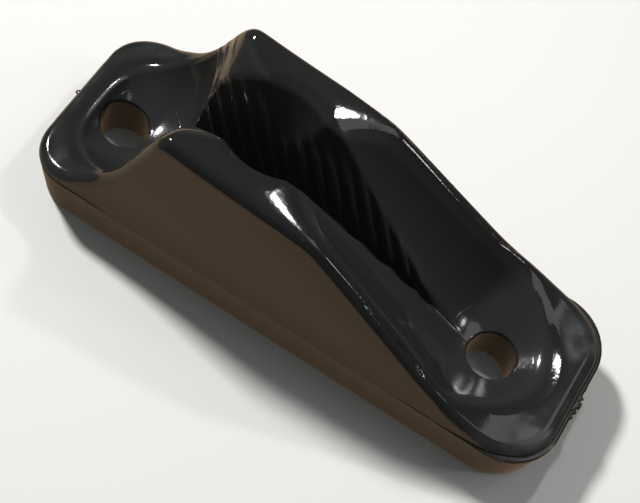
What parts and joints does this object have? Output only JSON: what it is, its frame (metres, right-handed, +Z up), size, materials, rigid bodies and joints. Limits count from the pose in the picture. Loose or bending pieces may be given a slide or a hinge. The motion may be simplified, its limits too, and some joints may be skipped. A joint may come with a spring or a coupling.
{
  "type": "v-jam rope cleat",
  "caption": "Low black plastic jam cleat with a toothed V groove between two jaws, a sloping round ramp behind and a bowl round the screw hole at each end.",
  "frame": {"origin": "middle of the flat underside", "axes": "+X along the rope groove from the blunt front end to the low end of the long slope, +Y across the groove, +Z up out of the deck"},
  "size_m": [0.0596, 0.02, 0.0212],
  "materials": {
    "body_plastic": "glossy black moulded nylon with fine scuffs",
    "base_plastic": "satin black moulded nylon"
  },
  "bodies": {
    "root": {"jaw_body": "body_plastic", "base_plate": "base_plastic"}
  },
  "joints": []
}
